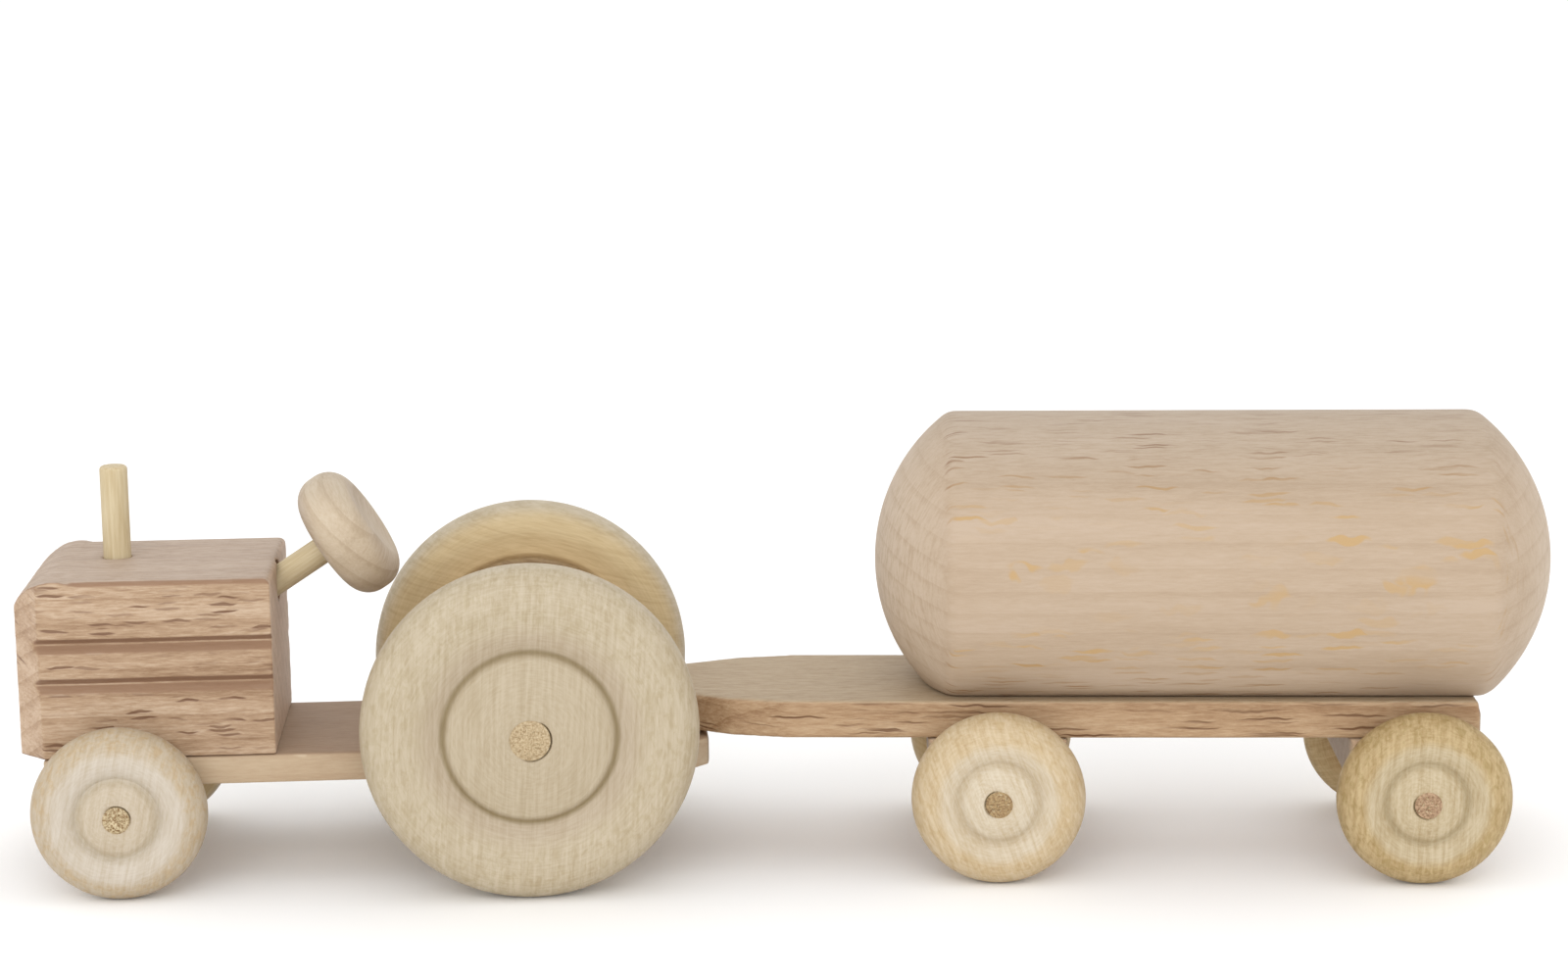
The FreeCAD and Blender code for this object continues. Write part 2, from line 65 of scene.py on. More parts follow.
def add_node(tree, kind, inputs, output=0, ramp=(), **settings):
    """Adds a shader node, with plain values or other nodes' outputs on its inputs; gives one output."""
    node = tree.nodes.new(kind)
    for name, value in settings.items():
        setattr(node, name, value)
    for socket, value in inputs.items():
        if isinstance(value, bpy.types.NodeSocket):
            tree.links.new(value, node.inputs[socket])
        else:
            node.inputs[socket].default_value = value
    for i, (place, colour) in enumerate(ramp):
        stops = node.color_ramp.elements
        stop = stops[i] if i < 2 else stops.new(place)
        stop.position = place
        stop.color = linear(colour)
    return node.outputs[output]


def beech(name, tones, ray_colour, ray_size, ray_share, tilt, ring_depth=0.08, ring_gap=3.0,
          fibre=0.45, end_colour="958675", painted_top_light="afa392", painted_top_light_share=0.4, flake_colour=None,
          last_ray=0.7):
    """Bare sanded beech. The grain runs along the piece's own X, and its rays are thin plates along it.

    tones are its dark, middle and light colours. ray_size is a ray's length, thickness and depth
    in mm, and ray_share is how many of them are dark enough to see. tilt turns the rays about the
    grain, in degrees. Yearly rings darken the wood by ring_depth every ring_gap mm, and fibre is
    how much of the colour's change is in the fibres. Sawn ends are end_colour. Faces that look up
    get painted light from above: painted_top_light_share of their colour is painted_top_light, a painted
    sheen where it is greyer than the wood and painted shade where it is darker. flake_colour is a ray seen
    from its flat side, where the wood was cut along it. No ray shows where the face looks more
    than last_ray along the grain.
    """
    material = bpy.data.materials.new(name)
    material.use_nodes = True
    tree = material.node_tree
    shader = tree.nodes["Principled BSDF"]
    own = add_node(tree, "ShaderNodeAttribute", {}, "Vector", attribute_name="own_mm")
    normal = add_node(tree, "ShaderNodeTexCoord", {}, "Normal")
    wood = add_node(tree, "ShaderNodeMapping", {"Vector": own, "Rotation": (math.radians(-tilt), 0, 0)})

    # slow bands of colour 50 mm long and 6 by 4 mm across, then fibres 3 mm long and 0.36 mm wide:
    # real fibres are far finer, and are drawn as coarse as they need to be to show
    bands = add_node(tree, "ShaderNodeTexNoise", {
        "Vector": add_node(tree, "ShaderNodeMapping", {"Vector": wood, "Scale": (1 / 50, 1 / 6, 1 / 4)}),
        "Scale": 1.0, "Detail": 3.0, "Roughness": 0.6})
    fibres = add_node(tree, "ShaderNodeTexNoise", {
        "Vector": add_node(tree, "ShaderNodeMapping", {
            "Vector": wood, "Scale": (1 / 3, 1 / 0.36, 1 / 0.36)}),
        "Scale": 1.0, "Detail": 5.0, "Roughness": 0.75, "Distortion": 0.3})
    # yearly rings, ring_gap apart: nearly flat sheets, since the tree's heart is 90 mm away. The
    # wave texture repeats every 2 pi / 20 at a scale of 1
    rings = add_node(tree, "ShaderNodeTexWave", {
        "Vector": add_node(tree, "ShaderNodeMapping", {
            "Vector": wood, "Location": (0, 90, 12), "Scale": (0.35, 1, 1)}),
        "Scale": 2 * math.pi / 20 / ring_gap, "Distortion": 5.0, "Detail": 2.0, "Detail Scale": 0.06},
        "Fac", wave_type="RINGS", rings_direction="X", wave_profile="SAW")
    late_wood = add_node(tree, "ShaderNodeMapRange", {
        "Value": rings, "From Min": 0.6, "From Max": 1.0, "To Max": ring_depth},
        interpolation_type="SMOOTHSTEP")
    tone = add_node(tree, "ShaderNodeMath", {0: bands, 1: 1.0 - fibre}, operation="MULTIPLY")
    tone = add_node(tree, "ShaderNodeMath", {0: fibres, 1: fibre, 2: tone}, operation="MULTIPLY_ADD")
    tone = add_node(tree, "ShaderNodeMath", {0: tone, 1: late_wood}, operation="SUBTRACT")
    colour = add_node(tree, "ShaderNodeValToRGB", {"Fac": tone},
                      ramp=((0.34, tones[0]), (0.49, tones[1]), (0.62, tones[2])))

    # rays, near their real size: seen on edge as dark dashes, and from their flat side as pale
    # flakes. They waver by 0.8 mm, and each fills about 0.7 of its cell
    length, thickness, depth = ray_size
    fill = 0.7
    bent = add_node(tree, "ShaderNodeTexNoise", {"Vector": wood, "Scale": 0.35, "Detail": 1.0}, "Color")
    bent = add_node(tree, "ShaderNodeVectorMath", {0: bent, 1: (0, 0.8, 0.8), 2: wood},
                    operation="MULTIPLY_ADD")
    ray_cells = add_node(tree, "ShaderNodeTexVoronoi", {
        "Vector": add_node(tree, "ShaderNodeMapping", {
            "Vector": bent, "Scale": (fill / length, fill / depth, fill / thickness)}),
        "Scale": 1.0}, "Distance")
    ray_pick = add_node(tree, "ShaderNodeSeparateColor", {"Color": ray_cells.node.outputs["Color"]}, "Red")
    ray_core = add_node(tree, "ShaderNodeMapRange", {
        "Value": ray_cells, "From Min": 0.4, "From Max": 0.26}, interpolation_type="SMOOTHSTEP")
    ray_dark = add_node(tree, "ShaderNodeMapRange", {
        "Value": ray_pick, "From Min": 1.0 - ray_share, "From Max": 1.0},
        interpolation_type="SMOOTHSTEP")
    # they stand in clumps 14 mm long, with clearer wood between, and end short of the end grain
    clumps = add_node(tree, "ShaderNodeTexNoise", {
        "Vector": add_node(tree, "ShaderNodeMapping", {
            "Vector": wood, "Scale": (1 / 14, 1 / 3.5, 1 / 3.5)}),
        "Scale": 1.0, "Detail": 2.0})
    clump = add_node(tree, "ShaderNodeMapRange", {
        "Value": clumps, "From Min": 0.38, "From Max": 0.52, "To Min": 0.15})
    ray_mask = add_node(tree, "ShaderNodeMath", {0: ray_core, 1: ray_dark}, operation="MULTIPLY")
    ray_mask = add_node(tree, "ShaderNodeMath", {0: ray_mask, 1: clump}, operation="MULTIPLY")
    facing = add_node(tree, "ShaderNodeSeparateXYZ", {"Vector": normal}, "X")
    along = add_node(tree, "ShaderNodeMath", {0: facing}, operation="ABSOLUTE")
    off_end = add_node(tree, "ShaderNodeMapRange", {
        "Value": along, "From Min": last_ray, "From Max": last_ray - 0.2})
    ray_mask = add_node(tree, "ShaderNodeMath", {0: ray_mask, 1: off_end}, operation="MULTIPLY")
    flat_side = (0, -math.sin(math.radians(tilt)), math.cos(math.radians(tilt)))
    flake = add_node(tree, "ShaderNodeVectorMath", {0: normal, 1: flat_side}, "Value",
                     operation="DOT_PRODUCT")
    flake = add_node(tree, "ShaderNodeMath", {0: flake}, operation="ABSOLUTE")
    flake = add_node(tree, "ShaderNodeMapRange", {"Value": flake, "From Min": 0.55, "From Max": 0.9})
    ray_tint = add_node(tree, "ShaderNodeMix", {
        FACTOR: flake, COLOUR_A: linear(ray_colour), COLOUR_B: linear(flake_colour or tones[2])},
        MIXED, data_type="RGBA")
    colour = add_node(tree, "ShaderNodeMix", {FACTOR: ray_mask, COLOUR_A: colour, COLOUR_B: ray_tint},
                      MIXED, data_type="RGBA")

    # sawn end grain has its own colour, crossed by rings and fine rays, and faces that look up get painted
    # light from above
    end_lines = add_node(tree, "ShaderNodeTexNoise", {
        "Vector": add_node(tree, "ShaderNodeMapping", {
            "Vector": wood, "Scale": (1 / 3, 1 / 2.5, 1 / 0.35)}),
        "Scale": 1.0, "Detail": 3.0, "Roughness": 0.7})
    end_lines = add_node(tree, "ShaderNodeMath", {0: late_wood, 1: -1.1, 2: end_lines},
                         operation="MULTIPLY_ADD")
    end_share = 0.75
    upward = facing.node.outputs["Z"]
    for direction, start, share, tint, lines in (
            (along, 0.55, end_share, end_colour, end_lines),
            (upward, 0.4, painted_top_light_share, painted_top_light, fibres)):
        shade = add_node(tree, "ShaderNodeValToRGB", {"Fac": lines},
                         ramp=((0.34, "e1d9cf"), (0.56, "ffffff")))
        tinted = add_node(tree, "ShaderNodeMix", {
            FACTOR: 1.0, COLOUR_A: linear(tint), COLOUR_B: shade}, MIXED,
            data_type="RGBA", blend_type="MULTIPLY")
        veil = add_node(tree, "ShaderNodeMapRange", {
            "Value": direction, "From Min": start, "From Max": 1.0, "To Max": share},
            interpolation_type="SMOOTHSTEP")
        colour = add_node(tree, "ShaderNodeMix", {FACTOR: veil, COLOUR_A: colour, COLOUR_B: tinted},
                          MIXED, data_type="RGBA")

    # sanding scratches 0.22 mm apart and raised fibres, too fine to be cut into the mesh; real
    # sandpaper's are nearer 0.1 mm
    grit = add_node(tree, "ShaderNodeTexNoise", {
        "Vector": add_node(tree, "ShaderNodeMapping", {
            "Vector": wood, "Scale": (1 / 1.1, 1 / 0.22, 1 / 0.22)}),
        "Scale": 1.0, "Detail": 3.0, "Roughness": 0.7})
    relief = add_node(tree, "ShaderNodeMath", {0: fibres, 1: 0.6, 2: grit}, operation="MULTIPLY_ADD")
    relief = add_node(tree, "ShaderNodeMath", {0: relief, 1: ray_mask}, operation="SUBTRACT")
    bump = add_node(tree, "ShaderNodeBump", {"Height": relief, "Strength": 0.6, "Distance": 0.03 * MM})
    tree.links.new(colour, shader.inputs["Base Color"])
    tree.links.new(bump, shader.inputs["Normal"])
    shader.inputs["Roughness"].default_value = 0.62
    shader.inputs["IOR"].default_value = 1.45
    return material


def own_size(node, place):
    """The lowest and highest corner of a frame node, measured in the piece's own axes."""
    back = place.inverted()
    points = [back @ vertex.co for vertex in frame["nodes"][node].data.vertices]
    low = Vector([min(point[i] for point in points) for i in range(3)])
    high = Vector([max(point[i] for point in points) for i in range(3)])
    return low, high


def show(mesh, name, place, material, body, slot, *nodes):
    """Puts a mesh in its place as a piece that rides on a body and stands for frame nodes.

    Each point keeps where it was in the piece's own axes, in mm, so that the grain follows the piece.
    """
    own = mesh.attributes.new("own_mm", "FLOAT_VECTOR", "POINT")
    own.data.foreach_set("vector", [value / MM for vertex in mesh.vertices for value in vertex.co])
    mesh.transform(place)
    piece = bpy.data.objects.new(name, mesh)
    bpy.context.scene.collection.objects.link(piece)
    mesh.materials.clear()
    mesh.materials.append(material)
    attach(piece, body)
    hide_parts(*nodes)


def sanded(node, place, voxel, wear, relief):
    """A frame node's shape with sanded edges, as a new mesh in the piece's own axes.

    voxel is the size of its new faces, wear how many times its corners are rubbed down, and
    relief how deep the soft wood between the fibres is rubbed out, all in mm but wear.
    """
    mesh = frame["nodes"][node].data.copy()
    mesh.transform(place.inverted())
    rough = bpy.data.objects.new(node + "_rough", mesh)
    bpy.context.scene.collection.objects.link(rough)
    remesh = rough.modifiers.new("voxels", "REMESH")
    remesh.mode = "VOXEL"
    remesh.voxel_size = voxel * MM
    smooth = rough.modifiers.new("wear", "SMOOTH")
    smooth.iterations = wear
    depsgraph = bpy.context.evaluated_depsgraph_get()
    worn = bpy.data.meshes.new_from_object(rough.evaluated_get(depsgraph))
    bpy.data.objects.remove(rough)
    bpy.data.meshes.remove(mesh)
    # bundles of fibres 12 mm long and 0.9 mm wide; the normals are read before any point moves
    stretch = Vector((1 / 12, 1 / 0.9, 1 / 0.9)) / MM
    normals = [vertex.normal.copy() for vertex in worn.vertices]
    for vertex, normal in zip(worn.vertices, normals):
        depth = 0.5 + 0.5 * noise.noise(vertex.co * stretch)
        vertex.co -= normal * depth * relief * MM
    worn.shade_smooth()
    return worn


def axle_place(joint_name):
    """The place of a turning part: its joint's centre, with its own Y along the joint's axis."""
    joint = next(joint for joint in frame["joints"] if joint["name"] == joint_name)
    turn = Vector((0, 1, 0)).rotation_difference(Vector(joint["axis"]))
    return Matrix.Translation(Vector(joint["pos_m"])) @ turn.to_matrix().to_4x4()


# the tractor's own axes start in the middle of its rear axle
tractor_place = axle_place("rear_axle_spin")
# planed beech: even and pale with few dark rays, and browner on top: painted shade, where the bonnet
# and the wheels shade it from the light in front
chassis_beech = beech("beech_planed_chassis", ("ab9276", "b6a084", "bfaa8f"), "9a7a5c",
                      ray_size=(3.0, 0.35, 6.0), ray_share=0.2, tilt=60,
                      painted_top_light="91755e", painted_top_light_share=0.75)
chassis_mesh = sanded("chassis", tractor_place, voxel=0.4, wear=3, relief=0.03)
show(chassis_mesh, "chassis_plank", tractor_place, chassis_beech, "tractor", "beech_chassis", "chassis")


# The axle blocks: sawn beech offcuts glued to the chassis and, under the trailer, to its deck.
# Nobody sees much of them, so they are left as sawn, a little darker and rougher than the rest.

# sawn beech: warm brown and matt, with short dashes
block_beech = beech("beech_sawn_blocks", ("a38567", "b39679", "bfa285"), "7a5b3f",
                    ray_size=(3.0, 0.4, 8.0), ray_share=0.4, tilt=20)
trailer_place = axle_place("trailer_front_axle_spin")
for node, place, body in (
        ("front_axle_block", tractor_place, "tractor"),
        ("rear_axle_block", tractor_place, "tractor"),
        ("trailer_front_axle_block", trailer_place, "trailer"),
        ("trailer_rear_axle_block", trailer_place, "trailer")):
    block_mesh = sanded(node, place, voxel=0.5, wear=2, relief=0.05)
    show(block_mesh, node + "_sawn", place, block_beech, body, "beech_block", node)


# The bonnet: a solid beech block with planed corners, a rounded nose and two grooves sawn along each
# side. Its sides are cut across the rays, so they are full of short brown dashes.

# sawn beech: fuzzy brown sides, dark dashes in clumps, and a greyer top, a painted sheen from above
bonnet_beech = beech("beech_sawn_bonnet", ("8a6c50", "a78b6f", "bda58c"), "66432a",
                     ray_size=(4.4, 0.38, 7.0), ray_share=1.0, tilt=35, fibre=0.6,
                     end_colour="cdb6a3", painted_top_light="b4a69b", painted_top_light_share=0.55, last_ray=0.97)
# the grooves' slopes get painted shade: the upper one, which faces down, is the darkest, and the
# lower one a lighter brown. The saw tore both.
groove = bonnet_beech.node_tree
groove_shader = groove.nodes["Principled BSDF"]
side_place = add_node(groove, "ShaderNodeAttribute", {}, "Vector", attribute_name="own_mm")
side_place = add_node(groove, "ShaderNodeSeparateXYZ", {"Vector": side_place}, "Y")
side_place = add_node(groove, "ShaderNodeMath", {0: side_place}, operation="ABSOLUTE")
low, high = own_size("bonnet", tractor_place)
side_face = (high.y - low.y) / 2 / MM
slope = add_node(groove, "ShaderNodeTexCoord", {}, "Normal")
slope = add_node(groove, "ShaderNodeSeparateXYZ", {"Vector": slope}, "Z")
sideways = add_node(groove, "ShaderNodeMath", {0: slope.node.outputs["Y"]}, operation="ABSOLUTE")
sideways = add_node(groove, "ShaderNodeMapRange", {"Value": sideways, "From Min": 0.3, "From Max": 0.5})
# each slope's steepest normal, the depths in mm over which its painted shade comes in, how much
# of it, and its colour
for steepest, shallow, deep, share, tint in (
        (-0.5, 0.05, 0.2, 0.8, "765540"), (0.5, 0.0, 0.2, 0.85, "87664c")):
    sunk = add_node(groove, "ShaderNodeMapRange", {
        "Value": side_place, "From Min": side_face - shallow, "From Max": side_face - deep})
    sunk = add_node(groove, "ShaderNodeMath", {0: sunk, 1: sideways}, operation="MULTIPLY")
    groove_shade = add_node(groove, "ShaderNodeMapRange", {
        "Value": slope, "From Min": 0.2 * steepest, "From Max": steepest, "To Max": share})
    groove_shade = add_node(groove, "ShaderNodeMath", {0: groove_shade, 1: sunk}, operation="MULTIPLY")
    wood_colour = groove_shader.inputs["Base Color"].links[0].from_socket
    # the groove's painted shade, mixed over the wood's colour
    torn = add_node(groove, "ShaderNodeMix", {
        FACTOR: groove_shade, COLOUR_A: wood_colour, COLOUR_B: linear(tint)}, MIXED, data_type="RGBA")
    groove.links.new(torn, groove_shader.inputs["Base Color"])
bonnet_mesh = sanded("bonnet", tractor_place, voxel=0.28, wear=3, relief=0.08)
show(bonnet_mesh, "bonnet_block", tractor_place, bonnet_beech, "tractor", "beech_bonnet", "bonnet")


# The wheels: turned on a lathe from pale birch, with a round hub, a narrow valley around it, darkened
# with painted shade, and a dish up to the tyre. Their inner faces are hollowed a little and rougher.

def bow(first, last, rise, count):
    """Points after first up to last on a shallow curve that stands out by rise in the middle."""
    points = []
    for i in range(1, count + 1):
        t = i / count
        lift = 4 * rise * t * (1 - t)
        points.append((first[0] + (last[0] - first[0]) * t, first[1] + (last[1] - first[1]) * t - lift))
    return points


def corner(centre, radius, start, turn, count):
    """Points on a round corner, from start degrees through turn degrees."""
    points = []
    for i in range(count + 1):
        angle = math.radians(start + turn * i / count)
        points.append((centre[0] + radius * math.cos(angle), centre[1] + radius * math.sin(angle)))
    return points


def straight(first, last, count):
    """Points after first up to last on a straight line."""
    return bow(first, last, 0.0, count)


def turned(name, outline, segments, mark=None, closed=True):
    """A lathe-turned mesh about its own Y axis from (radius, height) points in mm.

    mark(radius, angle, height) gives how far the tool bit in there, in mm, measured along Y towards
    the middle. An outline that isn't closed starts and ends on the axis.
    """
    inner = outline if closed else outline[1:-1]
    vertices = []
    for radius, height in inner:
        for k in range(segments):
            angle = 2 * math.pi * k / segments
            cut = mark(radius, angle, height) if mark else 0.0
            y = height - math.copysign(cut, height)
            vertices.append((radius * math.cos(angle) * MM, y * MM, radius * math.sin(angle) * MM))
    faces = []
    rows = len(inner)
    for i in range(rows if closed else rows - 1):
        for k in range(segments):
            a, b = i * segments, (i + 1) % rows * segments
            n = (k + 1) % segments
            faces.append((a + k, b + k, b + n, a + n))
    if not closed:
        for end, row, flip in ((outline[0], 0, False), (outline[-1], rows - 1, True)):
            pole = len(vertices)
            vertices.append((0, end[1] * MM, 0))
            for k in range(segments):
                a, b = row * segments + k, row * segments + (k + 1) % segments
                faces.append((pole, b, a) if flip else (pole, a, b))
    mesh = bpy.data.meshes.new(name)
    mesh.from_pydata(vertices, [], faces)
    mesh.validate()
    mesh.shade_smooth()
    mesh.set_sharp_from_angle(angle=math.radians(50))
    return mesh


def wheel_outline(radius, thickness, rounding, bore, hub, valley_drop, hub_drop, softness, boss,
                  hollow_edge, hollow_depth, step):
    """The wheel's closed outline, its outer face towards -Y, with points about step mm apart.

    The face falls from the bore by hub_drop to the hub's edge and by valley_drop to the bottom of
    the valley, over softness mm, and rises to the tyre, which is round by rounding. The back is
    hollowed by hollow_depth between its boss and hollow_edge. All are in mm.
    """
    half = thickness / 2
    crown = radius - rounding
    valley = hub + 0.35
    edge_drop = 0.8 * hub_drop
    hub_bulge = 0.18 * hub_drop
    dish_bulge = 0.28 * valley_drop
    corner_steps = 12

    def many(length):
        return max(2, round(length / step))

    points = [(bore, -half), (bore + 0.3, -half), (bore + 1.0, -half)]
    lip = hub - softness
    points += bow(points[-1], (lip, edge_drop - half), hub_bulge, many(lip - bore))
    steps = 7
    for i in range(1, steps + 1):
        t = i / steps
        ease = t * t * (3 - 2 * t)
        points.append((lip + (valley - lip) * t,
                       points[0][1] + edge_drop + (valley_drop - edge_drop) * ease))
    points += bow(points[-1], (crown, -half), dish_bulge, many(crown - valley))
    points += corner((crown, rounding - half), rounding, -90, 90, corner_steps)[1:]
    points += corner((crown, half - rounding), rounding, 0, 90, corner_steps)
    points += straight(points[-1], (hollow_edge, half), many(crown - hollow_edge))
    points += straight(points[-1], (hollow_edge - hollow_depth, half - hollow_depth), 3)
    points += straight(points[-1], (boss + hollow_depth, half - hollow_depth), many(hollow_edge - boss))
    points += straight(points[-1], (boss, half), 2)
    points += straight(points[-1], (bore, half), many(boss - bore))
    return points


def tool_marks(depth, seed, bore, gap_depth, gap_side):
    """Fine rings from the lathe tool, torn fibres, and a gap beside the dowel.

    Rings and torn fibres are depth mm deep. The gap is gap_depth mm deep, towards gap_side degrees.
    """
    even_gap = 0.06
    ring_width = 0.35
    tear_width, tear_length = 0.5, 1.6

    def mark(radius, angle, height):
        if radius < bore + 0.01 and height < 0:
            open_side = max(0.0, math.cos(angle - math.radians(gap_side)))
            return even_gap + gap_depth * open_side ** 0.7
        ring = 0.5 + 0.5 * noise.noise(Vector((radius / ring_width, seed, 0.0)))
        across = abs(math.sin(angle))
        tear_place = (radius * math.cos(angle) / tear_width, radius * math.sin(angle) / tear_length, seed)
        torn = noise.noise(Vector(tear_place))
        return depth * (ring + (0.4 + 0.6 * across) * (0.5 + 0.5 * torn)) / 2
    return mark


def turned_birch(name, radius, hub, streak, hub_colour, valley_shade_colour, dish_colour, rim_colour,
                 patch_colour, patch_share, inner_colour, dish_end, valley_shade_share, ring_width):
    """Turned birch. The grain runs across the wheel, along its own Z, and the axle along its Y.

    streak tints the darkest fibres. The face has a hub, a ring of painted shade in the valley
    around it, ring_width mm to each side, a dish up to dish_end of the radius, and a rim with
    patches of torn, darker wood. The shares are how much of the ring's painted shade and of the
    patches' colour shows. inner_colour is the hollow.
    """
    material = bpy.data.materials.new(name)
    material.use_nodes = True
    tree = material.node_tree
    shader = tree.nodes["Principled BSDF"]
    wood = add_node(tree, "ShaderNodeAttribute", {}, "Vector", attribute_name="own_mm")
    flat = add_node(tree, "ShaderNodeVectorMath", {0: wood, 1: (1, 0, 1)}, operation="MULTIPLY")
    reach = add_node(tree, "ShaderNodeVectorMath", {0: flat}, "Value", operation="LENGTH")
    height = add_node(tree, "ShaderNodeSeparateXYZ", {"Vector": wood}, "Y")

    # fibres half a millimetre wide, coarser than birch has, so that they show, and mottling of 1 mm
    streaks = add_node(tree, "ShaderNodeTexNoise", {
        "Vector": add_node(tree, "ShaderNodeMapping", {"Vector": wood, "Scale": (1 / 0.5, 1 / 3, 1 / 9)}),
        "Scale": 1.0, "Detail": 4.0, "Roughness": 0.65, "Distortion": 0.2})
    mottle = add_node(tree, "ShaderNodeTexNoise", {
        "Vector": add_node(tree, "ShaderNodeMapping", {
            "Vector": wood, "Scale": (1 / 1.1, 1 / 1.1, 1 / 2.0)}),
        "Scale": 1.0, "Detail": 5.0, "Roughness": 0.7, "Distortion": 0.6})
    # short strokes of the lathe tool along circles 0.3 mm apart: direction from the middle, and
    # distance from it
    spoke = add_node(tree, "ShaderNodeVectorMath", {0: flat}, operation="NORMALIZE")
    stroke_place = add_node(tree, "ShaderNodeVectorMath", {0: spoke, 1: (6, 6, 6)}, operation="MULTIPLY")
    reach_up = add_node(tree, "ShaderNodeCombineXYZ", {
        "Y": add_node(tree, "ShaderNodeMath", {0: reach, 1: 1 / 0.3}, operation="MULTIPLY")})
    strokes = add_node(tree, "ShaderNodeTexNoise", {
        "Vector": add_node(tree, "ShaderNodeVectorMath", {0: stroke_place, 1: reach_up}, operation="ADD"),
        "Scale": 1.0, "Detail": 3.0, "Roughness": 0.6})
    grain = add_node(tree, "ShaderNodeMath", {0: streaks, 1: 0.6}, operation="MULTIPLY")
    grain = add_node(tree, "ShaderNodeMath", {0: strokes, 1: 0.4, 2: grain}, operation="MULTIPLY_ADD")
    shade = add_node(tree, "ShaderNodeValToRGB", {"Fac": grain}, ramp=((0.36, streak), (0.6, "ffffff")))

    # zones by distance from the middle, as a share of the radius, their borders broken up by the
    # mottling, which averages a half
    ragged = 0.09
    wander = add_node(tree, "ShaderNodeMath", {0: mottle, 1: ragged * radius, 2: reach},
                      operation="MULTIPLY_ADD")
    share = add_node(tree, "ShaderNodeMath", {0: wander, 1: (1 + ragged / 2) * radius},
                     operation="DIVIDE")
    edge = hub / radius
    colour = add_node(tree, "ShaderNodeValToRGB", {"Fac": share}, ramp=(
        (edge, hub_colour), (edge + 0.05, dish_colour), (dish_end - 0.05, dish_colour),
        (dish_end + 0.05, rim_colour)))
    patches = add_node(tree, "ShaderNodeMapRange", {
        "Value": mottle, "From Min": 0.46, "From Max": 0.6, "To Max": patch_share})
    on_rim = add_node(tree, "ShaderNodeMapRange", {
        "Value": share, "From Min": dish_end - 0.04, "From Max": dish_end + 0.08})
    patches = add_node(tree, "ShaderNodeMath", {0: patches, 1: on_rim}, operation="MULTIPLY")
    # the ring of painted shade in the valley, on the outer face only
    off_ring = add_node(tree, "ShaderNodeMath", {0: reach, 1: hub + 0.2}, operation="SUBTRACT")
    off_ring = add_node(tree, "ShaderNodeMath", {0: off_ring}, operation="ABSOLUTE")
    ring = add_node(tree, "ShaderNodeMapRange", {
        "Value": off_ring, "From Min": ring_width, "From Max": 0.0, "To Max": valley_shade_share},
        interpolation_type="SMOOTHSTEP")
    outside = add_node(tree, "ShaderNodeMapRange", {"Value": height, "From Min": 0.0, "From Max": -0.5})
    ring = add_node(tree, "ShaderNodeMath", {0: ring, 1: outside}, operation="MULTIPLY")
    # the rougher inner face: a pale tyre, an ochre band, then the hollow
    inner = add_node(tree, "ShaderNodeValToRGB", {"Fac": share}, ramp=(
        (0.62, inner_colour), (0.655, "866a45"), (0.70, "c8ae82"), (0.86, "c4ae84")))
    inside = add_node(tree, "ShaderNodeMapRange", {
        "Value": height, "From Min": 0.1 * radius, "From Max": 0.22 * radius, "To Max": 0.9},
        interpolation_type="SMOOTHSTEP")
    patch_tint, valley_shade_tint = linear(patch_colour), linear(valley_shade_colour)
    for mask, tint in ((patches, patch_tint), (ring, valley_shade_tint), (inside, inner)):
        colour = add_node(tree, "ShaderNodeMix", {FACTOR: mask, COLOUR_A: colour, COLOUR_B: tint},
                          MIXED, data_type="RGBA")
    colour = add_node(tree, "ShaderNodeMix", {FACTOR: 1.0, COLOUR_A: colour, COLOUR_B: shade}, MIXED,
                      data_type="RGBA", blend_type="MULTIPLY")
    # fibres, strokes and mottling leave the face dull and a little rough
    relief = add_node(tree, "ShaderNodeMath", {0: strokes, 1: streaks}, operation="ADD")
    relief = add_node(tree, "ShaderNodeMath", {0: mottle, 1: relief}, operation="ADD")
    bump = add_node(tree, "ShaderNodeBump", {"Height": relief, "Strength": 0.5, "Distance": 0.03 * MM})
    tree.links.new(colour, shader.inputs["Base Color"])
    tree.links.new(bump, shader.inputs["Normal"])
    shader.inputs["Roughness"].default_value = 0.6
    shader.inputs["IOR"].default_value = 1.45
    return material


def mount_wheel(mesh, name, joint_name, side, spin, material, body, slot, node):
    """One wheel on its axle: its outer face away from the toy, its grain turned by spin degrees."""
    place = axle_place(joint_name)
    low, high = own_size(node, place)
    face_out = Matrix.Rotation(0 if side == "left" else math.pi, 4, "Z")
    grain = Matrix.Rotation(math.radians(spin), 4, "Y")
    middle = Matrix.Translation(Vector((0, (low.y + high.y) / 2, 0)))
    show(mesh, name, place @ middle @ face_out @ grain, material, body, slot, node)


# hub and bore are the radii of the round hub and of the axle's hole, in mm
big_low, big_high = own_size("rear_wheel_left", tractor_place)
big_radius = (big_high.z - big_low.z) / 2 / MM
big_thickness = (big_high.y - big_low.y) / MM
big_hub = 12.6
big_bore = 3.0
big_outline = wheel_outline(big_radius, big_thickness, rounding=4.7, bore=big_bore, hub=big_hub,
                            valley_drop=2.0, hub_drop=1.3, softness=1.0, boss=8.0, hollow_edge=17.6,
                            hollow_depth=1.0, step=0.3)
